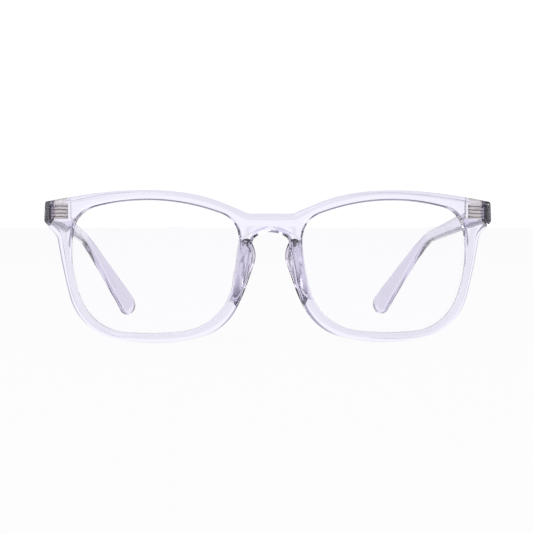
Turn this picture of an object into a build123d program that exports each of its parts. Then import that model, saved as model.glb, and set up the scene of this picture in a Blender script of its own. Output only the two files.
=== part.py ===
"""Clear plastic eyeglasses with plain blue-light lenses and folding temples.

Millimetres. The front faces -Y, +X is the wearer's left and +Z is up. The glasses stand
open on their two rims and two temple tips (Z = 0). X = 0 is the mirror plane, and Y = 0 is
half way between the front of the bridge and the ends of the temples.
"""
import os
from math import cos, pi, sin, sqrt

from build123d import *

os.makedirs("parts", exist_ok=True)

# Driving dimensions of the whole pair
half_width = 71.2  # X of the end pieces' outer faces
overall_depth = 136.4  # front of the bridge to the temples' ends
front_y = -overall_depth / 2  # front of the bridge
front_radius = 350.0  # the front is bent to this radius, about a vertical axis
rim_depth = 3.8  # thickness of the rims, front to back
rim_edge_radius = 0.8
opening_edge_radius = 0.5
tall = 50.0  # more than the height of the front

# Lenses
lens_inset = 0.9  # rim front to lens front
lens_thickness = 2.0
lens_bevel = 0.6  # how far the edge of the lens reaches into the rim
lens_chamfer = 0.45
lens_clearance = 0.03

# End pieces, the thick outer corners of the front
end_bottom = 38.1
end_inner_x = 62.6
end_depth = 12.0  # bridge front to the face that the temple closes on
end_bevel = 1.9  # flat on the outer vertical edge
end_y = front_y + end_depth

# Hinges: five knuckles on a vertical screw
axis_x = 65.6
axis_y = front_y + 13.6
knuckle_radius = 1.3
bore_radius = 0.65
hinge_bottom = 38.9
hinge_height = 4.8
knuckle_pitch = hinge_height / 5
knuckle_gap = 0.04  # play between neighbouring knuckles
web_width = 1.2
anchor_x = axis_x - 0.1  # centre of the block moulded into the end piece
anchor_width = 4.2
anchor_depth = 3.0
rib_count = 3
rib_depth = 0.4
rib_setback = 0.8  # the ribs' grooves stop this far short of the anchor's back
rib_pitch = hinge_height / rib_count
leaf_x = axis_x + 2.0  # inner face of the temple leaf's plate
leaf_thickness = 1.2
leaf_start = axis_y - 0.9
leaf_length = 10.0
leaf_height = 4.0
leaf_corner = 0.5
first_notch = 3.6  # front of the plate to its first pair of notches

# Screws
shank_radius = 0.6
head_radius = 0.95
head_sunk = 0.05  # the head lies this far below the top knuckle's face
slot_width = 0.28
slot_depth = 0.3

# Temples: a bar that narrows to the ear bend and widens to a rounded end
temple_start = end_y + 0.05  # the butt face
temple_thickness = 2.8
tip_thickness = 2.4
temple_edge = 0.8  # radius along its edges
temple_outer_x = 70.7
butt_height = 6.6
bend_height = 4.4  # where the arm starts to bend down, and where the ear piece starts
ear_height = 5.6
tip_radius = 4.15
butt_centre = (temple_outer_x - temple_thickness / 2, temple_start, 41.1)
bend_corner = (67.7, front_y + 115.6, 30.4)
tip_centre = (52.7, front_y + 133.0, tip_radius)
bend_radius = 21.0
bend_steps = 8
end_steps = 6

# Nose pads
pad_depth = 8.0  # how far the pads stand out behind the rims
pad_overlap = 0.3  # how far the first section starts in front of the rims' backs
pad_middle = (8.2, 27.5)
tenon_x = 8.2
tenon_z = 30.4
tenon_width = 1.9
tenon_height = 3.4
tenon_length = 1.6

front_plane = Plane.XZ.offset(-front_y)  # sketch X is world X, sketch Y is world Z
bend_centre = (0, front_y + front_radius)


def lens_opening(growth=0.0):
    """The +X lens opening, four bowed sides with rounded corners, grown by growth."""
    nose_low, side_low = (17.4, 5.5), (53.85, 4.4)
    side_high, nose_high = (60.0, 41.1), (10.2, 38.3)
    with BuildSketch() as opening:
        with BuildLine():
            SagittaArc(nose_low, side_low, -1.81)
            SagittaArc(side_low, side_high, -4.8)
            SagittaArc(side_high, nose_high, -4.93)
            SagittaArc(nose_high, nose_low, -2.65)
        make_face()
        if growth:
            offset(amount=growth, kind=Kind.INTERSECTION)
        for corner, radius in ((nose_low, 18.0), (side_low, 16.2), (side_high, 9.4), (nose_high, 8.3)):
            fillet(opening.vertices().sort_by_distance(corner)[0], radius + growth)
    return opening.sketch


def front_outline():
    """The outline of the front seen from -Y, without its lens openings."""
    bridge_top, brow_start = (0, 40.7), (6.9, 40.6)
    brow_end, end_low = (70.9, 44.4), (half_width, end_bottom)
    side_top, side_low = (67.0, 33.4), (60.4, 5.3)
    nose_low, nose_side = (13.5, 4.9), (7.8, 19.9)
    arch_side, arch_top = (5.5, 32.6), (0, 34.75)
    with BuildSketch() as outline:
        with BuildLine():
            Line(bridge_top, brow_start)
            Spline(brow_start, (20, 45.75), (38, 48.0), (56, 46.9), brow_end)
            Line(brow_end, end_low)
            Line(end_low, side_top)
            SagittaArc(side_top, side_low, 0.59)
            SagittaArc(side_low, nose_low, 5.03)
            SagittaArc(nose_low, nose_side, 0.71)
            Line(nose_side, arch_side)
            ThreePointArc(arch_side, (3.2, 34.1), arch_top)
            Line(arch_top, bridge_top)
        make_face()
        corners = (
            (brow_start, 1.5), (brow_end, 0.9), (end_low, 1.2), (side_top, 4.0),
            (side_low, 17.9), (nose_low, 17.7), (nose_side, 9.0), (arch_side, 2.5),
        )
        for corner, radius in corners:
            fillet(outline.vertices().sort_by_distance(corner)[0], radius)
        mirror(about=Plane.YZ)
    return outline.sketch


def curved_band(inset, depth):
    """A ring seen from above, of the given depth, whose outside lies inset behind the front."""
    with BuildSketch() as band:
        with Locations(bend_centre):
            Circle(front_radius - inset)
            Circle(front_radius - inset - depth, mode=Mode.SUBTRACT)
    return band.sketch


def edged_lens(clearance=0.0):
    """The +X lens, a curved sheet with a bevelled edge, grown by clearance all round."""
    with BuildPart() as lens_blank:
        with BuildSketch(front_plane):
            add(lens_opening(lens_bevel + clearance))
        extrude(amount=-end_depth)
        with BuildSketch():
            add(curved_band(lens_inset - clearance, lens_thickness + 2 * clearance))
        extrude(amount=tall, mode=Mode.INTERSECT)
        curved_faces = lens_blank.faces().sort_by(SortBy.AREA)[-2:]
        chamfer([edge for face in curved_faces for edge in face.outer_wire().edges()], lens_chamfer)
    return lens_blank.part


# Front leaf of the hinge: three knuckles, their webs and a ribbed block in the end piece
with BuildPart() as hinge_front_leaf:
    with BuildSketch(Plane.XY.offset(hinge_bottom)):
        with Locations((anchor_x, end_y - anchor_depth / 2)):
            Rectangle(anchor_width, anchor_depth)
    extrude(amount=hinge_height)
    for side in (-1, 1):
        for rib in range(rib_count):
            groove_z = hinge_bottom + rib_pitch * (rib + 0.5)
            groove_y = end_y - anchor_depth / 2 - rib_setback
            with Locations((anchor_x + side * anchor_width / 2, groove_y, groove_z)):
                Box(2 * rib_depth, anchor_depth, rib_pitch / 2, mode=Mode.SUBTRACT)
    for level in (0, 2, 4):
        with BuildSketch(Plane.XY.offset(hinge_bottom + level * knuckle_pitch)):
            with Locations((axis_x, axis_y)):
                Circle(knuckle_radius)
            with Locations((axis_x, (axis_y + end_y) / 2)):
                Rectangle(web_width, axis_y - end_y)
        extrude(amount=knuckle_pitch)
    with Locations((axis_x, axis_y, hinge_bottom + hinge_height)):
        CounterSinkHole(bore_radius, head_radius + 2 * head_sunk, counter_sink_angle=90)

# Temple leaf of the hinge: two knuckles between the front leaf's three, and a ribbed plate
with BuildPart() as hinge_temple_leaf:
    with BuildSketch(Plane.YZ.offset(leaf_x)):
        with Locations((leaf_start + leaf_length / 2, hinge_bottom + leaf_height / 2)):
            RectangleRounded(leaf_length, leaf_height, leaf_corner)
    extrude(amount=leaf_thickness)
    for notch in range(rib_count + 1):
        notch_y = leaf_start + first_notch + notch * rib_pitch
        for edge_z in (hinge_bottom, hinge_bottom + leaf_height):
            with Locations((leaf_x + leaf_thickness / 2, notch_y, edge_z)):
                Box(leaf_thickness, rib_pitch / 2, 2 * rib_depth, mode=Mode.SUBTRACT)
    for level in (1, 3):
        with BuildSketch(Plane.XY.offset(hinge_bottom + level * knuckle_pitch + knuckle_gap)):
            with Locations((axis_x, axis_y)):
                Circle(knuckle_radius)
            with Locations(((axis_x + leaf_x) / 2, axis_y)):
                Rectangle(leaf_x - axis_x, web_width)
        extrude(amount=knuckle_pitch - 2 * knuckle_gap)
    with Locations((axis_x, axis_y, hinge_bottom + hinge_height)):
        Hole(bore_radius)

# Hinge screw, its slotted head sunk in the top knuckle
head_top = hinge_bottom + hinge_height - head_sunk
with BuildPart() as hinge_screw:
    with BuildSketch(Plane.XZ.offset(-axis_y)):
        with BuildLine():
            Polyline(
                (axis_x, hinge_bottom),
                (axis_x + shank_radius, hinge_bottom),
                (axis_x + shank_radius, head_top - head_radius + shank_radius),
                (axis_x + head_radius, head_top),
                (axis_x, head_top),
                close=True,
            )
        make_face()
    revolve(axis=Axis((axis_x, axis_y, 0), (0, 0, 1)))
    with Locations((axis_x, axis_y, head_top)):
        Box(2 * head_radius, slot_width, 2 * slot_depth, mode=Mode.SUBTRACT)

# Temple: sections square to its centre line, which bends down and inward behind the ear
with BuildLine() as centre_line:
    FilletPolyline(butt_centre, bend_corner, tip_centre, radius=bend_radius)
arm, bend, ear = centre_line.wire().edges()
temple_sections = [(arm @ 0, Vector(0, 1, 0), butt_height, temple_thickness)]
for step in range(bend_steps + 1):
    along = step / bend_steps
    height = bend_height + (ear_height - bend_height) * along
    temple_sections.append((bend @ along, bend % along, height, temple_thickness))
for step in range(end_steps):
    turn = step / end_steps * pi / 2
    centre = ear @ 1 + (ear % 1) * tip_radius * sin(turn)
    thickness = tip_thickness - temple_edge * (1 - cos(turn))
    temple_sections.append((centre, ear % 1, 2 * tip_radius * cos(turn), thickness))
with BuildPart() as temple:
    for centre, forward, height, thickness in temple_sections:
        level_side = Vector(forward.Y, -forward.X, 0).normalized()
        corner = min(temple_edge, 0.45 * min(height, thickness))
        with BuildSketch(Plane(centre, x_dir=level_side, z_dir=forward)):
            RectangleRounded(thickness, height, corner)
    loft(ruled=True)
    add(hinge_temple_leaf.part, mode=Mode.SUBTRACT)

# Nose pad: a teardrop that splays backwards, with a square tenon that plugs into the rim
pad_sections = ((-pad_overlap, 0.0, 1.0), (0.44 * pad_depth, 0.5, 0.94), (pad_depth, 1.9, 0.55))
with BuildPart() as nose_pad:
    for behind, splay, size in pad_sections:
        with BuildSketch(front_plane.offset(-rim_depth - behind)):
            with BuildLine(mode=Mode.PRIVATE) as teardrop:
                nose_edge = Spline((6.2, 32.3), (4.65, 27.8), (6.0, 22.3), (8.3, 15.8), (10.5, 11.0))
                rim_edge = Spline((11.7, 11.4), (11.3, 16.5), (10.1, 22.0), (9.6, 27.0), (8.8, 31.9))
                RadiusArc(nose_edge @ 1, rim_edge @ 0, 0.9)
                RadiusArc(rim_edge @ 1, nose_edge @ 0, 2.2)
            with Locations((splay + pad_middle[0] * (1 - size), pad_middle[1] * (1 - size))):
                add(scale(make_face(teardrop.line, mode=Mode.PRIVATE), size, mode=Mode.PRIVATE))
    loft()
    with BuildSketch():
        add(curved_band(0, rim_depth))
    extrude(amount=tall, mode=Mode.SUBTRACT)
    with Locations((tenon_x, front_y + rim_depth, tenon_z)):
        Box(tenon_width, 2 * tenon_length, tenon_height)

# Lens, and a slightly larger copy of it that cuts the groove in the rim
with BuildPart() as lens:
    add(edged_lens())
with BuildPart() as lens_groove:
    add(edged_lens(lens_clearance))

# Front: the curved band and the end pieces behind it, cut to the outline
bevel_y = bend_centre[1] - sqrt(front_radius**2 - (half_width - end_bevel) ** 2)
with BuildPart() as front_frame:
    with BuildSketch():
        add(curved_band(0, rim_depth))
    extrude(amount=tall)
    with BuildSketch(Plane.XY.offset(end_bottom)):
        with Locations(((end_inner_x + half_width) / 2, (front_y + end_y) / 2)):
            Rectangle(half_width - end_inner_x, end_depth)
        mirror(about=Plane.YZ)
        with Locations(bend_centre):
            Circle(front_radius, mode=Mode.INTERSECT)
    extrude(amount=tall - end_bottom)
    with BuildSketch(front_plane):
        add(front_outline())
    extrude(amount=-end_depth, mode=Mode.INTERSECT)
    with BuildSketch(front_plane):
        add(lens_opening())
        mirror(about=Plane.YZ)
    extrude(amount=-end_depth, mode=Mode.SUBTRACT)
    back_face, front_face = front_frame.faces().sort_by(SortBy.AREA)[-2:]
    fillet(front_face.outer_wire().edges(), rim_edge_radius)
    back_face, front_face = front_frame.faces().sort_by(SortBy.AREA)[-2:]
    for face in (back_face, front_face):
        fillet([edge for wire in face.inner_wires() for edge in wire.edges()], opening_edge_radius)
    with BuildSketch(Plane.XY.offset(end_bottom)):
        with BuildLine():
            Polyline(
                (half_width - end_bevel, bevel_y),
                (half_width, bevel_y + end_bevel),
                (half_width, front_y),
                (half_width - end_bevel, front_y),
                close=True,
            )
        make_face()
        mirror(about=Plane.YZ)
    extrude(amount=tall - end_bottom, mode=Mode.SUBTRACT)
    for piece in (lens_groove.part, hinge_front_leaf.part, nose_pad.part):
        add(piece, mode=Mode.SUBTRACT)
        add(mirror(piece, about=Plane.YZ, mode=Mode.PRIVATE), mode=Mode.SUBTRACT)

front_frame.part.label = "front_frame"
export_step(front_frame.part, "parts/front_frame.step")

# The left pieces are those at +X; each has a mirror image on the right
paired_pieces = {
    "lens": lens,
    "nose_pad": nose_pad,
    "hinge_front_leaf": hinge_front_leaf,
    "hinge_temple_leaf": hinge_temple_leaf,
    "hinge_screw": hinge_screw,
    "temple": temple,
}
for name, left in paired_pieces.items():
    with BuildPart() as right:
        add(mirror(left.part, about=Plane.YZ, mode=Mode.PRIVATE))
    left.part.label = f"{name}_left"
    right.part.label = f"{name}_right"
    for piece in (left, right):
        export_step(piece.part, f"parts/{piece.part.label}.step")
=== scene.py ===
"""Clear plastic eyeglasses: smooth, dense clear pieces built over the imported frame.

The shapes are worked out in millimetres, in the frame's own axes: the front faces -Y, X = 0 is
the mirror plane and Z = 0 is the surface that the glasses stand on.
"""

from math import atan2, cos, pi, radians, sin

import bmesh
import bpy
import numpy as np
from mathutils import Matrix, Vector


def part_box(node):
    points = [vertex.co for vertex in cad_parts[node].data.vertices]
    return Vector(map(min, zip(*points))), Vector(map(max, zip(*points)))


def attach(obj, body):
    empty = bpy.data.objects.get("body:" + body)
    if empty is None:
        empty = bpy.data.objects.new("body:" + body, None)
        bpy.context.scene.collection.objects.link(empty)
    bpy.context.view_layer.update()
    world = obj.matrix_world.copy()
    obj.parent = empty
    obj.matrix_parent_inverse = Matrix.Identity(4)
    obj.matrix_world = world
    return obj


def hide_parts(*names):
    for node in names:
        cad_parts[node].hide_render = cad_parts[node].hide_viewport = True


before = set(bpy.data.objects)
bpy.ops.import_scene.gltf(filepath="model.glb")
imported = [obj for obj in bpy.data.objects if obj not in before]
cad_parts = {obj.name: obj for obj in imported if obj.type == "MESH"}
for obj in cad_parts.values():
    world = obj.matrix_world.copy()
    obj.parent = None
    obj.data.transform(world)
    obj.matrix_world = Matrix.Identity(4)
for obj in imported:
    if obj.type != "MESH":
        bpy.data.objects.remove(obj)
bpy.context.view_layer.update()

MM = 0.001

# Front. The outline, bend and depths are the CAD model's. Its edges are rounder here, its end
# pieces have a smaller bevel, and the crown, back bevel and arch slope are only here.
front_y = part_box("front_frame")[0].y / MM
half_width = 71.2
front_radius = 350.0
rim_depth = 3.8
front_edge = 1.7  # edge radii: outline front and back, and both sides of the lens opening
back_edge = 1.0
opening_edge = 0.4
lip_edge = 0.25
crown = 0.4  # the front face falls back by this much at its edges, over crown_width
crown_width = 2.2
back_bevel_width = 1.8  # the back face curves forward by back_bevel_drop towards each opening
back_bevel_drop = 0.7
arch_slope = 1.1  # the arch's underside rises by this much from front to back
arch_foot = 30.0  # the slope begins at this height and is full arch_fade above it
arch_fade = 3.0
arch_half_width = 7.0  # the arch lies inside this X and below arch_ceiling
arch_ceiling = 37.0
end_fade = 5.0  # the back edge's radius shrinks over this distance next to the end pieces
end_bottom = 38.1
end_inner_x = 62.6
end_depth = 12.0
end_bevel = 1.4
pole = np.array((35.0, 30.0))  # every ray from here crosses each outline once

# Lens and its groove: distances out from the opening, and depths behind the rim's front
lens_lip = 0.15
lens_reach = 0.6
lens_front = 0.9
lens_thickness = 2.0
lens_chamfer = 0.45
groove_gap = 0.03

# Temples. The bend is softer here than in the CAD model
hinge_y = front_y + end_depth
temple_start = hinge_y + 0.05
temple_thickness = 2.8
tip_thickness = 2.4
temple_edge = 1.25
butt_height = 6.6
bend_height = 4.4
ear_height = 5.6
tip_radius = 4.15
butt_centre = Vector((69.3, temple_start, 41.1))
bend_corner = Vector((67.7, front_y + 115.6, 31.1))
tip_centre = Vector((52.7, front_y + 133.0, tip_radius))
bend_radius = 30.0
taper_ease = 0.35  # how much of the arm's taper eases in and out; the rest is even
butt_turn = 1 / 12  # share of the arm over which its sections turn from square to the butt
least_tip_height = 0.9

# Nose pads
pad_depth = 8.0
pad_edge = 1.1
pad_gap = 0.02  # between the pads and the rims' backs
pad_middle = np.array((8.2, 27.5))
tenon_x = 8.2
tenon_z = 30.4
tenon_width = 1.9
tenon_height = 3.4
tenon_edge = 0.25
tenon_length = 1.5
tenon_chamfer = 0.1
tenon_overlap = 0.3  # how far the tenon reaches back into its pad

plastic_ior = 1.5


# ---------------------------------------------------------------- lines in the plane


def three_point_arc(start, middle, end, count=240):
    """Points on the circular arc from start to end through middle."""
    (ax, ay), (bx, by), (cx, cy) = start, middle, end
    d = 2 * (ax * (by - cy) + bx * (cy - ay) + cx * (ay - by))
    a2, b2, c2 = ax * ax + ay * ay, bx * bx + by * by, cx * cx + cy * cy
    centre = np.array(
        (
            (a2 * (by - cy) + b2 * (cy - ay) + c2 * (ay - by)) / d,
            (a2 * (cx - bx) + b2 * (ax - cx) + c2 * (bx - ax)) / d,
        )
    )
    first = atan2(ay - centre[1], ax - centre[0])
    turn_to_middle = atan2(by - centre[1], bx - centre[0]) - first
    turn_to_end = atan2(cy - centre[1], cx - centre[0]) - first
    turn_to_middle = (turn_to_middle + pi) % (2 * pi) - pi
    turn_to_end %= 2 * pi
    if turn_to_middle < 0:
        turn_to_end -= 2 * pi
    angles = first + np.linspace(0, turn_to_end, count)
    radius = np.hypot(ax - centre[0], ay - centre[1])
    return centre + radius * np.stack([np.cos(angles), np.sin(angles)], 1)


def bowed(start, end, bulge):
    """An arc whose middle stands bulge to the left of the line from start to end."""
    start, end = np.array(start), np.array(end)
    along = (end - start) / np.linalg.norm(end - start)
    middle = (start + end) / 2 + bulge * np.array((-along[1], along[0]))
    return three_point_arc(start, middle, end)


def straight(start, end, count=240):
    """Points on the straight line from start to end."""
    share = np.linspace(0, 1, count)[:, None]
    return (1 - share) * np.array(start) + share * np.array(end)


def spline(points, count=600):
    """A natural cubic spline through the points, spaced by their distances."""
    points = np.array(points, float)
    knots = np.r_[0, np.cumsum(np.linalg.norm(np.diff(points, axis=0), axis=1))]
    gaps = np.diff(knots)
    size = len(points)
    matrix = np.eye(size)
    right = np.zeros((size, 2))
    for k in range(1, size - 1):
        matrix[k, k - 1 : k + 2] = gaps[k - 1], 2 * (gaps[k - 1] + gaps[k]), gaps[k]
        slopes = np.diff(points[k - 1 : k + 2], axis=0) / gaps[k - 1 : k + 1, None]
        right[k] = 6 * (slopes[1] - slopes[0])
    curvature = np.linalg.solve(matrix, right)
    where = np.linspace(0, knots[-1], count)
    k = np.clip(np.searchsorted(knots, where, side="right") - 1, 0, size - 2)
    gap = gaps[k][:, None]
    ahead = knots[k + 1][:, None] - where[:, None]
    behind = where[:, None] - knots[k][:, None]
    return (
        curvature[k] * ahead**3 / (6 * gap)
        + curvature[k + 1] * behind**3 / (6 * gap)
        + (points[k] / gap - curvature[k] * gap / 6) * ahead
        + (points[k + 1] / gap - curvature[k + 1] * gap / 6) * behind
    )


def left_normals(line):
    """Unit normals to the left of a sampled line."""
    steps = np.gradient(line, axis=0)
    steps /= np.linalg.norm(steps, axis=1)[:, None]
    return np.stack([-steps[:, 1], steps[:, 0]], 1)


def rounded_corner(before, after, radius):
    """The two sampled lines, cut back, and the arc of the given radius between them."""
    d1, d2 = before[-1] - before[-2], after[1] - after[0]
    turn = 1.0 if d1[0] * d2[1] - d1[1] * d2[0] > 0 else -1.0
    n1, n2 = turn * left_normals(before), turn * left_normals(after)
    o1, o2 = before + radius * n1, after + radius * n2
    gaps = np.linalg.norm(o1[:, None] - o2[None], axis=2)
    i, j = np.unravel_index(gaps.argmin(), gaps.shape)
    t1, t2 = (np.array((n[1], -n[0])) for n in (n1[i], n2[j]))
    share = np.linalg.solve(np.stack([t1, -t2], 1), o2[j] - o1[i])
    centre = o1[i] + share[0] * t1
    first = atan2(-n1[i][1], -n1[i][0])
    sweep = (atan2(-n2[j][1], -n2[j][0]) - first) * turn % (2 * pi) * turn
    count = 8 + int(radius * abs(sweep) / 0.05)
    angles = first + np.linspace(0, sweep, count)
    arc = centre + radius * np.stack([np.cos(angles), np.sin(angles)], 1)
    keep = (before - arc[0]) @ t1 * np.sign(t1 @ d1) < -0.01
    before = before[: i + 1][keep[: i + 1]]
    keep = (after - arc[-1]) @ t2 * np.sign(t2 @ d2) > 0.01
    after = after[j:][keep[j:]]
    return before, arc, after


def joined(lines, radii):
    """One evenly sampled line from several that meet end to end, with rounded corners."""
    done = []
    current = lines[0]
    for following, radius in zip(lines[1:], radii):
        current, arc, following = rounded_corner(current, following, radius)
        done += [current, arc]
        current = following
    done.append(current)
    line = np.concatenate(done)
    steps = np.r_[0, np.cumsum(np.linalg.norm(np.diff(line, axis=0), axis=1))]
    fresh = np.r_[True, np.diff(steps) > 1e-6]
    where = np.linspace(0, steps[-1], int(steps[-1] / 0.04))
    return np.stack([np.interp(where, steps[fresh], line[fresh, k]) for k in (0, 1)], 1)


def lens_opening():
    """The +X lens opening, clockwise from the middle of its nose side."""
    nose_low, side_low = (17.4, 5.5), (53.85, 4.4)
    side_high, nose_high = (60.0, 41.1), (10.2, 38.3)
    nose = bowed(nose_low, nose_high, 2.65)
    half = len(nose) // 2
    top = bowed(nose_high, side_high, 4.93)
    side = bowed(side_high, side_low, 4.8)
    bottom = bowed(side_low, nose_low, 1.81)
    return joined([nose[half:], top, side, bottom, nose[: half + 1]], (8.3, 9.4, 16.2, 18.0))


def front_outline():
    """The outline of the +X half of the front, clockwise from the top of the bridge."""
    bridge_top, brow_start = (0, 40.7), (6.9, 40.6)
    brow_end, end_low = (70.9, 44.4), (half_width, end_bottom)
    side_top, side_low = (67.0, 33.4), (60.4, 5.3)
    nose_low, nose_side = (13.5, 4.9), (7.8, 19.9)
    arch_side, arch_top = (5.5, 32.6), (0, 34.75)
    lines = [
        straight(bridge_top, brow_start),
        spline([brow_start, (20, 45.75), (38, 48.0), (56, 46.9), brow_end]),
        straight(brow_end, end_low),
        straight(end_low, side_top),
        bowed(side_top, side_low, 0.59),
        bowed(side_low, nose_low, 5.03),
        bowed(nose_low, nose_side, 0.71),
        straight(nose_side, arch_side),
        three_point_arc(arch_side, (3.2, 34.1), arch_top),
    ]
    return joined(lines, (1.5, 0.9, 1.2, 4.0, 17.9, 17.7, 9.0, 2.5))


# ---------------------------------------------------------------- the bent front


def bent_y(x, depth):
    """World Y of a point of the bent front, the given depth behind its front surface."""
    return front_y + front_radius - np.sqrt((front_radius - depth) ** 2 - x**2)


def crossed(angles, line, line_angles):
    """Where rays from the pole at these angles cross a sampled line."""
    return np.stack([np.interp(-angles, -line_angles, line[:, k]) for k in (0, 1)], 1)


def unwrapped_angles(line):
    """Angles of a clockwise line's points as seen from the pole, ever decreasing."""
    return np.unwrap(np.arctan2(line[:, 1] - pole[1], line[:, 0] - pole[0]))


class Rays:
    """Rays from the pole that cut the opening and the outline, and the lines' normals there."""

    def __init__(self, count):
        outline, opening = front_outline(), lens_opening()
        inward = -left_normals(outline)
        outline_angles = unwrapped_angles(outline)
        start, end = outline_angles[0], outline_angles[-1]
        opening_angles = unwrapped_angles(opening)
        opening_angles += 2 * pi * round((start - opening_angles[0]) / (2 * pi))
        # The opening three times over, so that no ray falls off either end of it
        opening_all = np.tile(opening[:-1], (3, 1))
        angles_all = np.concatenate([opening_angles[:-1] + turn for turn in (2 * pi, 0, -2 * pi)])
        outward_all = np.tile(left_normals(opening)[:-1], (3, 1))
        # Samples are closer together where either line turns
        bend = np.abs(np.gradient(np.unwrap(np.arctan2(inward[:, 1], inward[:, 0]))))
        inner = np.abs(np.gradient(np.unwrap(np.arctan2(outward_all[:, 1], outward_all[:, 0]))))
        inner = np.interp(-outline_angles, -angles_all, inner)
        density = np.cumsum(0.04 + 0.9 * np.minimum(bend, 0.05) + 0.2 * inner)
        shares = np.linspace(density[0], density[-1], count)
        main = np.interp(shares, density, outline_angles)
        at_high = outline_angles[np.argmax(outline[:, 0] > end_inner_x)]
        beyond = (outline_angles < at_high) & (outline[:, 1] < end_bottom)
        at_low = outline_angles[np.argmax(beyond)]
        at_inner = atan2(end_bottom - pole[1], end_inner_x - pole[0])
        special = np.array([at_high, at_inner, at_low])
        main = main[np.min(np.abs(main[:, None] - special), axis=1) > 2e-3]
        main = np.sort(np.concatenate([main, special]))[::-1]
        points = crossed(main, outline, outline_angles)
        normals = crossed(main, inward, outline_angles)
        normals[0], normals[-1] = (0, -1), (0, 1)
        points[0, 0] = points[-1, 0] = 0
        # Across the mirror plane, from the arch up to the bridge's top
        low = points[-1, 1] + arch_slope + back_edge + 0.2
        high = points[0, 1] - front_edge - 0.2
        heights = np.linspace(low, high, 6)
        middle = np.stack([0 * heights, heights], 1)
        middle_angles = np.arctan2(heights - pole[1], -pole[0]) - 2 * pi
        self.edges = np.concatenate([outline[::5], opening[::5]])
        # The rays along the end piece's edges stand twice, once on the rim and once on the end piece
        self.block = (main <= at_high) & (main >= at_low)
        twice = np.sort(np.r_[np.arange(len(main)), np.flatnonzero(np.isin(main, (at_high, at_low)))])
        self.block = self.block[twice]
        edges = np.flatnonzero(np.diff(twice) == 0)
        self.block[edges[0]] = False
        self.block[edges[1] + 1] = False
        self.seams = set(int(e) for e in edges)
        self.outer = np.concatenate([points[twice], middle])
        self.inward = np.concatenate([normals[twice], 0 * middle])
        self.block = np.r_[self.block, np.zeros(len(middle), bool)]
        angles = np.concatenate([main[twice], middle_angles])
        self.opening = crossed(angles, opening_all, angles_all)
        self.outward = crossed(angles, outward_all, angles_all)
        self.inward /= np.linalg.norm(self.inward, axis=1).clip(1e-9)[:, None]
        self.outward /= np.linalg.norm(self.outward, axis=1)[:, None]

    def arch_rise(self, share):
        """Shift into the plastic of the arch's underside, a share of the way to the back."""
        near_arch = (self.outer[:, 0] < arch_half_width) & (self.outer[:, 1] < arch_ceiling)
        weight = np.clip((self.outer[:, 1] - arch_foot) / arch_fade, 0, 1) * near_arch
        return self.inward * (arch_slope * share * weight)[:, None]

    def crowned(self, flat):
        """How far the front face has fallen back at these points, because an edge is near."""
        gaps = [np.linalg.norm(self.edges - point, axis=1).min() for point in flat]
        return crown * np.clip(1 - np.array(gaps) / crown_width, 0, 1) ** 2

    def back_radius(self):
        """Radius of the outline's back edge, which shrinks next to the end pieces."""
        ends = self.outer[self.block]
        gaps = [np.linalg.norm(ends - point, axis=1).min() for point in self.outer]
        return back_edge * np.clip(np.array(gaps) / end_fade, 0.05, 1)

    def entry(self):
        """Where each ray enters the end piece, or the outline's back edge elsewhere."""
        reach = self.outer - pole
        with np.errstate(divide="ignore"):
            across = (end_inner_x - pole[0]) / reach[:, 0]
            up = (end_bottom - pole[1]) / reach[:, 1]
        share = np.clip(np.maximum(across, up), 0, 1)
        inside = pole + reach * share[:, None]
        back = self.outer + self.arch_rise(1) + self.back_radius()[:, None] * self.inward
        return np.where(self.block[:, None], inside, back)


def quarter(count):
    """Angles of a quarter turn."""
    return np.linspace(0, pi / 2, count)


def inner_shares(count, edge):
    """Shares between 0 and 1, with one extra close to each end, to hold the edges' shading."""
    return np.r_[edge, np.linspace(0, 1, count)[1:-1], 1 - edge]


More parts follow.
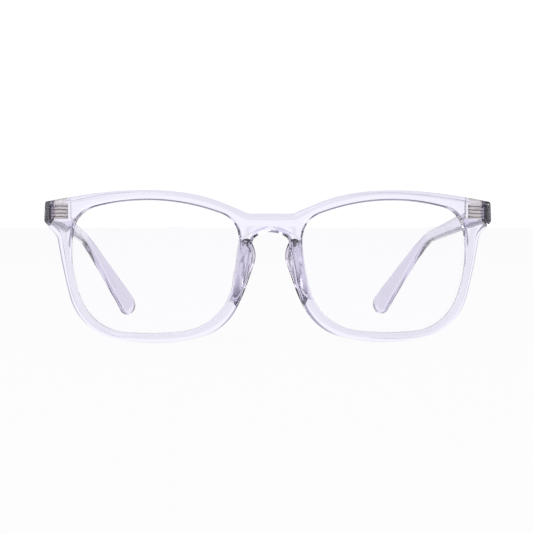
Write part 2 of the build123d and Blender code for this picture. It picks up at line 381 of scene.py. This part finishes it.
def front_rows(rays):
    """Closed rows of points round the section of the front at each ray, and the end pieces' rows."""
    rows = []

    def add(flat, y):
        rows.append(np.stack([flat[:, 0], np.broadcast_to(y, len(flat)), flat[:, 1]], 1))

    def add_depth(flat, depth):
        add(flat, bent_y(flat[:, 0], depth))

    opening, outward, outer, inward = rays.opening, rays.outward, rays.outer, rays.inward
    lip_depth = rim_depth - back_bevel_drop
    for turn in quarter(4):
        flat = opening + outward * lip_edge * (1 - sin(turn))
        add_depth(flat, lip_depth - lip_edge * (1 - cos(turn)))
    lip, reach = lens_lip + groove_gap, lens_reach + groove_gap
    shallow, deep = lens_front - groove_gap, lens_front + lens_thickness + groove_gap
    groove = (
        (0, deep), (lip, deep), (reach, deep - lens_chamfer),
        (reach, shallow + lens_chamfer), (lip, shallow), (0, shallow),
    )
    for out, depth in groove:
        add_depth(opening + outward * out, depth)
    for turn in quarter(6):
        flat = opening + outward * opening_edge * (1 - cos(turn))
        add_depth(flat, opening_edge * (1 - sin(turn)) + rays.crowned(flat))
    inner_line = opening + outward * opening_edge
    outer_line = outer + inward * front_edge
    for share in inner_shares(15, 0.02):
        flat = (1 - share) * inner_line + share * outer_line
        add_depth(flat, rays.crowned(flat))
    in_end = rays.block | ((outer[:, 0] > end_inner_x) & (outer[:, 1] > end_bottom))
    bevel_y = bent_y(half_width - end_bevel, 0)

    def bevelled(flat, depth):
        facet = bevel_y + flat[:, 0] - (half_width - end_bevel)
        y = bent_y(flat[:, 0], depth)
        return np.where(in_end, np.maximum(y, facet), y)

    for turn in quarter(8):
        flat = outer + inward * front_edge * (1 - sin(turn))
        add(flat, bevelled(flat, (front_edge - crown) * (1 - cos(turn)) + rays.crowned(flat)))
    block = rays.block[:, None]
    radius = rays.back_radius()
    for depth in np.linspace(front_edge, rim_depth - back_edge, 4)[1:-1]:
        flat = outer + rays.arch_rise((depth - front_edge) / (rim_depth - front_edge))
        add(flat, bevelled(flat, depth))
    for turn in quarter(6):
        depth = rim_depth - radius * (1 - sin(turn))
        rise = rays.arch_rise((depth - front_edge) / (rim_depth - front_edge))
        rounded = outer + rise + inward * radius[:, None] * (1 - cos(turn))
        flat = np.where(block, outer, rounded)
        add_depth(flat, depth)
    entry = rays.entry()
    end_y = front_y + end_depth
    first_extra = len(rows)

    def stretched(rim_back, share):
        """Y of the rim's back, moved this share of the way to the end pieces' back on their rays."""
        return np.where(rays.block, rim_back + share * (end_y - rim_back), rim_back)

    # Out to the end pieces' back, across it and in again; elsewhere these rows fall together
    side_line = np.where(block, outer, entry)
    rim_back = bent_y(side_line[:, 0], rim_depth)
    for share in (0.33, 0.67, 1.0):
        add(side_line, stretched(rim_back, share))
    for share in (0.2, 0.4, 0.6, 0.8, 1.0):
        add((1 - share) * side_line + share * entry, np.where(rays.block, end_y, rim_back))
    rim_back = bent_y(entry[:, 0], rim_depth)
    for share in (0.67, 0.33, 0.0):
        add(entry, stretched(rim_back, share))
    extra = range(first_extra - 1, len(rows) - 1)
    shoulder = opening + outward * back_bevel_width
    lip_line = opening + outward * lip_edge
    for share in inner_shares(7, 0.03):
        add_depth((1 - share) * entry + share * shoulder, rim_depth)
    for share in np.linspace(0, 1, 10)[:-1]:
        flat = (1 - share) * shoulder + share * lip_line
        add_depth(flat, rim_depth - back_bevel_drop * share**2)
    return np.stack(rows, 1), extra


# ---------------------------------------------------------------- meshes


def surface(name, grids, sharp=30.0, skip=()):
    """A closed mesh from grids of points, welded where they meet.

    Each grid is (points, closed along the first index, closed along the second)."""
    builder = bmesh.new()
    for grid, first_closed, second_closed in grids:
        verts = [[builder.verts.new(Vector(p) * MM) for p in line] for line in grid]
        rows, columns = len(verts), len(verts[0])
        for i in range(rows if first_closed else rows - 1):
            for j in range(columns if second_closed else columns - 1):
                if (i, j) in skip:
                    continue
                near, far = verts[i], verts[(i + 1) % rows]
                k = (j + 1) % columns
                corners = [near[j], far[j], far[k], near[k]]
                if all(abs(v.co.x) < 1e-9 for v in corners):
                    continue
                builder.faces.new(corners)
    bmesh.ops.remove_doubles(builder, verts=builder.verts, dist=2e-6)
    bmesh.ops.dissolve_degenerate(builder, edges=builder.edges, dist=1e-6)
    loose = [v for v in builder.verts if not v.link_faces]
    bmesh.ops.delete(builder, geom=loose, context="VERTS")
    bmesh.ops.recalc_face_normals(builder, faces=builder.faces)
    mesh = bpy.data.meshes.new(name)
    builder.to_mesh(mesh)
    builder.free()
    mesh.polygons.foreach_set("use_smooth", [True] * len(mesh.polygons))
    mesh.set_sharp_from_angle(angle=radians(sharp))
    piece = bpy.data.objects.new(name, mesh)
    bpy.context.scene.collection.objects.link(piece)
    return piece


def mirrored(grid):
    """The grid's mirror image across X = 0."""
    return grid * np.array((-1, 1, 1))


def make_front(rays):
    """The whole front as one closed clear moulding."""
    grid, extra = front_rows(rays)
    skip = {(i, j) for i in rays.seams for j in extra}
    halves = [(grid, True, True), (mirrored(grid), True, True)]
    return surface("front_moulding", halves, skip=skip)


def make_lens(rays, side):
    """A curved lens with a bevelled edge, its faces built in rings round the pole."""
    keep = ~np.r_[False, np.all(np.abs(np.diff(rays.opening, axis=0)) < 1e-6, axis=1)]
    opening, outward = rays.opening[keep][::2], rays.outward[keep][::2]
    edge = ((lens_lip, 0), (lens_reach, lens_chamfer), (lens_reach, lens_thickness - lens_chamfer))
    edge += ((lens_lip, lens_thickness),)
    rows = []
    rim = opening + outward * lens_lip
    rings = np.r_[0, np.linspace(0.12, 0.97, 14), 0.99]
    for share in rings:
        flat = pole + (rim - pole) * share
        rows.append((flat, lens_front))
    for out, depth in edge:
        rows.append((opening + outward * out, lens_front + depth))
    for share in rings[::-1]:
        rows.append((pole + (rim - pole) * share, lens_front + lens_thickness))
    grid = np.stack([np.stack([f[:, 0], bent_y(f[:, 0], d), f[:, 1]], 1) for f, d in rows], 1)
    if side == "right":
        grid = mirrored(grid)
    return surface(f"clear_lens_{side}", [(grid, True, False)])


def rounded_section(width, height, radius, corner_steps=6, side_steps=4):
    """Points round a rectangle with rounded corners, in its own plane."""
    centres = (
        (width / 2 - radius, height / 2 - radius), (radius - width / 2, height / 2 - radius),
        (radius - width / 2, radius - height / 2), (width / 2 - radius, radius - height / 2),
    )
    points = []
    for k, (cx, cy) in enumerate(centres):
        for turn in np.linspace(k * pi / 2, (k + 1) * pi / 2, corner_steps):
            points.append((cx + radius * cos(turn), cy + radius * sin(turn)))
        next_x, next_y = centres[(k + 1) % 4]
        turn = (k + 1) * pi / 2
        ahead = (next_x + radius * cos(turn), next_y + radius * sin(turn))
        for share in np.linspace(0, 1, side_steps + 1)[1:-1]:
            points.append(tuple((1 - share) * np.array(points[-1]) + share * np.array(ahead)))
    return np.array(points)


def temple_stations():
    """Centre, direction, height and thickness along the temple, butt to tip."""
    arm = (bend_corner - butt_centre).normalized()
    ear = (tip_centre - bend_corner).normalized()
    half_turn = arm.angle(ear) / 2
    tangent = bend_radius * np.tan(half_turn)
    bend_start = bend_corner - arm * tangent
    bend_end = bend_corner + ear * tangent
    toward = (ear - arm).normalized()
    bend_centre = bend_corner + toward * (bend_radius / cos(half_turn))
    first_spoke = (bend_start - bend_centre).normalized()
    last_spoke = (bend_end - bend_centre).normalized()
    stations = []
    for share in np.linspace(0, 1, 61)[:-1]:
        eased = share * share * (3 - 2 * share)
        smooth = eased * taper_ease + share * (1 - taper_ease)
        direction = Vector((0, 1, 0)).lerp(arm, min(1, share / butt_turn)).normalized()
        height = butt_height + (bend_height - butt_height) * smooth
        stations.append((butt_centre.lerp(bend_start, share), direction, height, temple_thickness))
    for share in np.linspace(0, 1, 25):
        arc = arm.slerp(ear, share)
        spoke = first_spoke.slerp(last_spoke, share)
        height = bend_height + (ear_height - bend_height) * share
        stations.append((bend_centre + spoke * bend_radius, arc, height, temple_thickness))
    for share in np.linspace(0, 1, 25)[1:]:
        height = ear_height + (2 * tip_radius - ear_height) * share
        thickness = temple_thickness + (tip_thickness - temple_thickness) * share
        stations.append((bend_end.lerp(tip_centre, share), ear, height, thickness))
    for turn in np.linspace(0, pi / 2, 15)[1:]:
        centre = tip_centre + ear * tip_radius * sin(turn)
        height = max(2 * tip_radius * cos(turn), least_tip_height)
        stations.append((centre, ear, height, tip_thickness - temple_edge * (1 - cos(turn))))
    return stations


def make_temple(side):
    """A clear temple: rounded sections along its bent centre line."""
    lines = []
    for centre, forward, height, thickness in temple_stations():
        level = Vector((forward.y, -forward.x, 0)).normalized()
        upright = level.cross(forward)
        corner = min(temple_edge, 0.45 * min(height, thickness))
        section = rounded_section(thickness, height, corner)
        lines.append([tuple(centre + level * u + upright * v) for u, v in section])
    grid = np.array(lines)
    caps = []
    for end in (grid[0], grid[-1]):
        middle = end.mean(axis=0)
        caps.append(np.stack([middle + (end - middle) * s for s in (0, 0.5, 0.9, 1)], 0))
    grids = [(grid, False, True), (caps[0], False, True), (caps[1], False, True)]
    if side == "right":
        grids = [(mirrored(g), a, b) for g, a, b in grids]
    return surface(f"clear_temple_{side}", grids)


def teardrop():
    """The outline of a nose pad's seat, closed, counter-clockwise in X and Z."""
    nose_edge = spline([(6.2, 32.3), (4.65, 27.8), (6.0, 22.3), (8.3, 15.8), (10.5, 11.0)], 90)
    rim_edge = spline([(11.7, 11.4), (11.3, 16.5), (10.1, 22.0), (9.6, 27.0), (8.8, 31.9)], 90)
    low = three_point_arc(nose_edge[-1], (11.35, 10.85), rim_edge[0], 14)
    high = three_point_arc(rim_edge[-1], (7.5, 32.75), nose_edge[0], 24)
    line = np.concatenate([nose_edge, low[1:-1], rim_edge, high[1:-1]])
    steps = np.r_[0, np.cumsum(np.linalg.norm(np.diff(np.r_[line, line[:1]], axis=0), axis=1))]
    where = np.linspace(0, steps[-1], 161)[:-1]
    closed = np.r_[line, line[:1]]
    return np.stack([np.interp(where, steps, closed[:, k]) for k in (0, 1)], 1)


def make_nose_pad(side):
    """A nose pad that splays backwards from the rim, with a square tenon that enters the rim."""
    seat = teardrop()
    inward = left_normals(np.r_[seat[-1:], seat, seat[:1]])[1:-1]

    def section(behind, inset):
        """The pad's outline this far behind the rim: smaller and further from the nose."""
        share = behind / pad_depth
        size = 1 - 0.07 * share - 0.38 * share * share
        splay = 0.4 * share + 1.5 * share * share
        return pad_middle + (seat + inward * inset - pad_middle) * size + (splay, 0)

    rows = []
    for share in (0, 0.4, 0.8):
        flat = pad_middle + (section(0, 0) - pad_middle) * share
        rows.append((flat, pad_gap))
    for behind in np.linspace(0, pad_depth - pad_edge, 24):
        rows.append((section(behind, 0), behind + pad_gap))
    for turn in quarter(7)[1:]:
        behind = pad_depth - pad_edge * (1 - sin(turn))
        rows.append((section(behind, pad_edge * (1 - cos(turn))), behind))
    last = rows[-1][0]
    middle = last.mean(axis=0)
    for share in (0.7, 0.35, 0):
        rows.append((middle + (last - middle) * share, pad_depth))
    lines = []
    for flat, behind in rows:
        settle = min(1, behind / pad_depth)
        on_rim = bent_y(flat[:, 0], rim_depth) + behind
        level = front_y + rim_depth + behind
        y = (1 - settle) * on_rim + settle * level
        lines.append(np.stack([flat[:, 0], y, flat[:, 1]], 1))
    pad = np.stack(lines, 0)
    # Each section of the tenon: how far behind the rim's back, and its size. Size 0 closes an end
    tenon_sections = (
        (-tenon_length, 0), (-tenon_length, 0.85), (tenon_chamfer - tenon_length, 1),
        (tenon_overlap, 1), (tenon_overlap, 0),
    )
    full_section = rounded_section(tenon_width, tenon_height, tenon_edge, 3, 1)
    tenon = []
    for y, size in tenon_sections:
        x, z = tenon_x + size * full_section[:, 0], tenon_z + size * full_section[:, 1]
        tenon.append(np.stack([x, np.full(len(x), front_y + rim_depth + y), z], 1))
    grids = [(pad, False, True), (np.stack(tenon, 0), False, True)]
    if side == "right":
        grids = [(mirrored(g), a, b) for g, a, b in grids]
    return surface(f"clear_nose_pad_{side}", grids)


# ---------------------------------------------------------------- materials


def start_material(name):
    """An empty node material with a Principled shader, and its nodes and links."""
    material = bpy.data.materials.new(name)
    material.use_nodes = True
    nodes, links = material.node_tree.nodes, material.node_tree.links
    shader = nodes["Principled BSDF"]
    return material, nodes, links, shader


def noise_to(nodes, links, scale, low, high, detail=4.0):
    """The output of a noise texture in object space, mapped to a range of values."""
    place = nodes.new("ShaderNodeTexCoord")
    noise = nodes.new("ShaderNodeTexNoise")
    noise.inputs["Scale"].default_value = scale
    noise.inputs["Detail"].default_value = detail
    links.new(place.outputs["Object"], noise.inputs["Vector"])
    values = nodes.new("ShaderNodeMapRange")
    values.inputs["From Min"].default_value = 0.3
    values.inputs["From Max"].default_value = 0.7
    values.inputs["To Min"].default_value = low
    values.inputs["To Max"].default_value = high
    links.new(noise.outputs["Fac"], values.inputs["Value"])
    return values.outputs["Result"]


def bump_from(nodes, links, shader, height, strength, distance):
    """Bump on the shader from a height output."""
    bump = nodes.new("ShaderNodeBump")
    bump.inputs["Strength"].default_value = strength
    bump.inputs["Distance"].default_value = distance
    links.new(height, bump.inputs["Height"])
    links.new(bump.outputs["Normal"], shader.inputs["Normal"])


def clear_plastic(name, tint, colour, density):
    """Polished plastic, tinted at its surface and inside, with faint moulding ripple and haze."""
    material, nodes, links, shader = start_material(name)
    shader.inputs["Base Color"].default_value = tint
    shader.inputs["Transmission Weight"].default_value = 1.0
    shader.inputs["IOR"].default_value = plastic_ior
    haze = noise_to(nodes, links, 260.0, 0.0, 0.035)
    links.new(haze, shader.inputs["Roughness"])
    ripple = noise_to(nodes, links, 90.0, 0.0, 1.0, 2.0)
    bump_from(nodes, links, shader, ripple, 0.05, 0.0002)
    absorb = nodes.new("ShaderNodeVolumeAbsorption")
    absorb.inputs["Color"].default_value = colour
    absorb.inputs["Density"].default_value = density
    links.new(absorb.outputs["Volume"], nodes["Material Output"].inputs["Volume"])
    return material


def brushed_metal(name, light, dark, scale, rib_shade_spacing=0.0):
    """Satin metal with fine brushing and soft stains, and optionally thin dark lines of painted shade,
    spaced like rib grooves that the mesh doesn't have.
    """
    material, nodes, links, shader = start_material(name)
    shader.inputs["Metallic"].default_value = 1.0
    place = nodes.new("ShaderNodeTexCoord")
    stretch = nodes.new("ShaderNodeMapping")
    stretch.inputs["Scale"].default_value = (1.0, 1.0, 14.0)
    links.new(place.outputs["Object"], stretch.inputs["Vector"])
    brush = nodes.new("ShaderNodeTexNoise")
    brush.inputs["Scale"].default_value = scale
    brush.inputs["Detail"].default_value = 6.0
    links.new(stretch.outputs["Vector"], brush.inputs["Vector"])
    stain = noise_to(nodes, links, scale * 0.3, 0.0, 1.0)
    colours = nodes.new("ShaderNodeMix")
    colours.data_type = "RGBA"
    colours.inputs["A"].default_value = dark
    colours.inputs["B"].default_value = light
    links.new(stain, colours.inputs["Factor"])
    shade = colours.outputs["Result"]
    if rib_shade_spacing:
        # Painted shade: thin dark lines at the rib spacing, where the grooves between ribs would lie in
        # shade
        wave = nodes.new("ShaderNodeTexWave")
        wave.bands_direction = "Z"
        wave.inputs["Scale"].default_value = pi / 10 / rib_shade_spacing
        wave.inputs["Distortion"].default_value = 2.5
        wave.inputs["Detail"].default_value = 1.0
        wave.inputs["Detail Scale"].default_value = 0.6
        links.new(place.outputs["Object"], wave.inputs["Vector"])
        line = nodes.new("ShaderNodeMapRange")
        line.inputs["From Min"].default_value = 0.12
        line.inputs["From Max"].default_value = 0.35
        links.new(wave.outputs["Fac"], line.inputs["Value"])
        # Mixes the dark painted groove-shade colour into the metal's own colour along those lines
        groove = nodes.new("ShaderNodeMix")
        groove.data_type = "RGBA"
        groove.inputs["A"].default_value = (0.3, 0.27, 0.26, 1)
        links.new(shade, groove.inputs["B"])
        links.new(line.outputs["Result"], groove.inputs["Factor"])
        shade = groove.outputs["Result"]
    links.new(shade, shader.inputs["Base Color"])
    rough = nodes.new("ShaderNodeMapRange")
    rough.inputs["To Min"].default_value = 0.22
    rough.inputs["To Max"].default_value = 0.45
    links.new(brush.outputs["Fac"], rough.inputs["Value"])
    links.new(rough.outputs["Result"], shader.inputs["Roughness"])
    bump_from(nodes, links, shader, brush.outputs["Fac"], 0.25, 0.00004)
    return material


def paint(piece, material):
    """Gives the whole piece one material."""
    piece.data.materials.clear()
    piece.data.materials.append(material)


# ---------------------------------------------------------------- stage


def make_camera():
    """A long lens, level with the bridge and a little to the wearer's right of centre."""
    distance, turn, tilt = 400.0, radians(2.72), radians(1.92)
    sideways, height = -1.4, 37.5
    x = sideways * cos(turn) - distance * sin(turn)
    y = -sideways * sin(turn) - distance * cos(turn) + front_y
    forward = Vector((sin(turn) * cos(tilt), cos(turn) * cos(tilt), -sin(tilt)))
    data = bpy.data.cameras.new("camera")
    data.lens = 86.8
    data.sensor_width = 36.0
    data.clip_start = 0.02
    camera = bpy.data.objects.new("camera", data)
    camera.location = Vector((x, y, height)) * MM
    camera.rotation_euler = forward.to_track_quat("-Z", "Y").to_euler()
    bpy.context.scene.collection.objects.link(camera)
    bpy.context.scene.camera = camera


def make_floor():
    """A wide, plain, pale floor that glows evenly, so that no shadow falls on it."""
    bpy.ops.mesh.primitive_grid_add(x_subdivisions=8, y_subdivisions=8, size=24.0, location=(0, 0, -0.0002))
    floor = bpy.context.object
    floor.name = "floor"
    material, _, _, shader = start_material("pale_floor")
    shader.inputs["Base Color"].default_value = (0.03, 0.03, 0.03, 1)
    shader.inputs["Roughness"].default_value = 1.0
    shader.inputs["Specular IOR Level"].default_value = 0.0
    shader.inputs["Emission Color"].default_value = (0.95, 0.95, 0.96, 1)
    shader.inputs["Emission Strength"].default_value = 1.0
    paint(floor, material)


def colour_ramp(nodes, stops):
    """A colour ramp through stops of position and colour."""
    ramp = nodes.new("ShaderNodeValToRGB")
    elements = ramp.color_ramp.elements
    for element, (position, colour) in zip(elements, (stops[0], stops[-1])):
        element.position = position
        element.color = colour
    for position, colour in stops[1:-1]:
        elements.new(position).color = colour
    return ramp


def make_world():
    """White at the horizon, dark violet overhead, with a darker band at each side.

    It is also a little dimmer behind the camera."""
    world = bpy.data.worlds.new("studio")
    world.use_nodes = True
    nodes, links = world.node_tree.nodes, world.node_tree.links
    place = nodes.new("ShaderNodeTexCoord")
    split = nodes.new("ShaderNodeSeparateXYZ")
    links.new(place.outputs["Generated"], split.inputs["Vector"])
    white, band = (1, 1, 1, 1), (0.4, 0.38, 0.46, 1)
    ramp = colour_ramp(nodes, ((0.5, white), (0.75, (0.5, 0.48, 0.56, 1)), (1.0, (0.25, 0.24, 0.29, 1))))
    links.new(split.outputs["Z"], ramp.inputs["Fac"])
    background = nodes["Background"]
    sideways = nodes.new("ShaderNodeMath")
    sideways.operation = "ABSOLUTE"
    links.new(split.outputs["X"], sideways.inputs[0])
    flags = colour_ramp(nodes, ((0.28, white), (0.4, band), (0.6, band), (0.8, white)))
    links.new(sideways.outputs["Value"], flags.inputs["Fac"])
    both = nodes.new("ShaderNodeMix")
    both.data_type = "RGBA"
    both.blend_type = "MULTIPLY"
    both.inputs["Factor"].default_value = 1.0
    links.new(ramp.outputs["Color"], both.inputs["A"])
    links.new(flags.outputs["Color"], both.inputs["B"])
    links.new(both.outputs["Result"], background.inputs["Color"])
    behind = nodes.new("ShaderNodeMapRange")
    behind.inputs["From Min"].default_value = -0.8
    behind.inputs["From Max"].default_value = -0.3
    behind.inputs["To Min"].default_value = 0.9
    behind.inputs["To Max"].default_value = 1.1
    links.new(split.outputs["Y"], behind.inputs["Value"])
    links.new(behind.outputs["Result"], background.inputs["Strength"])
    bpy.context.scene.world = world


def make_softbox(name, place, aim, size, power):
    """A rectangular studio light."""
    data = bpy.data.lights.new(name, "AREA")
    data.shape = "RECTANGLE"
    data.size, data.size_y = size
    data.energy = power
    light = bpy.data.objects.new(name, data)
    light.location = place
    light.rotation_euler = (Vector(aim) - Vector(place)).to_track_quat("-Z", "Y").to_euler()
    bpy.context.scene.collection.objects.link(light)


# ---------------------------------------------------------------- the glasses


make_camera()
make_floor()
make_world()
make_softbox("key_light", (-0.5, -0.5, 0.7), (0, 0, 0.03), (0.8, 0.8), 4.0)
make_softbox("fill_light", (0.7, -0.3, 0.5), (0, 0, 0.03), (0.6, 0.6), 2.0)

frame_plastic = clear_plastic("clear_frame_plastic", (0.88, 0.87, 0.945, 1), (0.4, 0.3, 0.65, 1), 22.0)
temple_plastic = clear_plastic("clear_temple_plastic", (0.76, 0.73, 0.85, 1), (0.4, 0.3, 0.6, 1), 45.0)
pad_plastic = clear_plastic("clear_pad_plastic", (0.9, 0.88, 0.94, 1), (0.4, 0.3, 0.5, 1), 40.0)
lens_plastic = clear_plastic("clear_lens_plastic", (0.995, 0.995, 1, 1), (0.8, 0.8, 1, 1), 3.0)
nickel_silver = brushed_metal("nickel_silver", (0.97, 0.94, 0.87, 1), (0.82, 0.77, 0.69, 1), 900.0, 0.0011)
screw_steel = brushed_metal("screw_steel", (0.7, 0.7, 0.7, 1), (0.45, 0.45, 0.47, 1), 1300.0)

rays = Rays(460)
front = make_front(rays)
paint(front, frame_plastic)
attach(front, "front")
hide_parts("front_frame")

for side in ("left", "right"):
    clear_pieces = (
        (make_lens(rays, side), "front", f"lens_{side}", "clear_lens", lens_plastic),
        (make_nose_pad(side), "front", f"nose_pad_{side}", "clear_pad", pad_plastic),
        (make_temple(side), f"temple_{side}", f"temple_{side}", "clear_frame", temple_plastic),
    )
    for piece, body, node, slot, material in clear_pieces:
        paint(piece, material)
        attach(piece, body)
        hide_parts(node)
    for node in ("hinge_front_leaf", "hinge_temple_leaf"):
        paint(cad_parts[f"{node}_{side}"], nickel_silver)
    paint(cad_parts[f"hinge_screw_{side}"], screw_steel)

scene = bpy.context.scene
scene.view_settings.view_transform = "Standard"
scene.cycles.max_bounces = 24
scene.cycles.transmission_bounces = 24
scene.cycles.transparent_max_bounces = 16
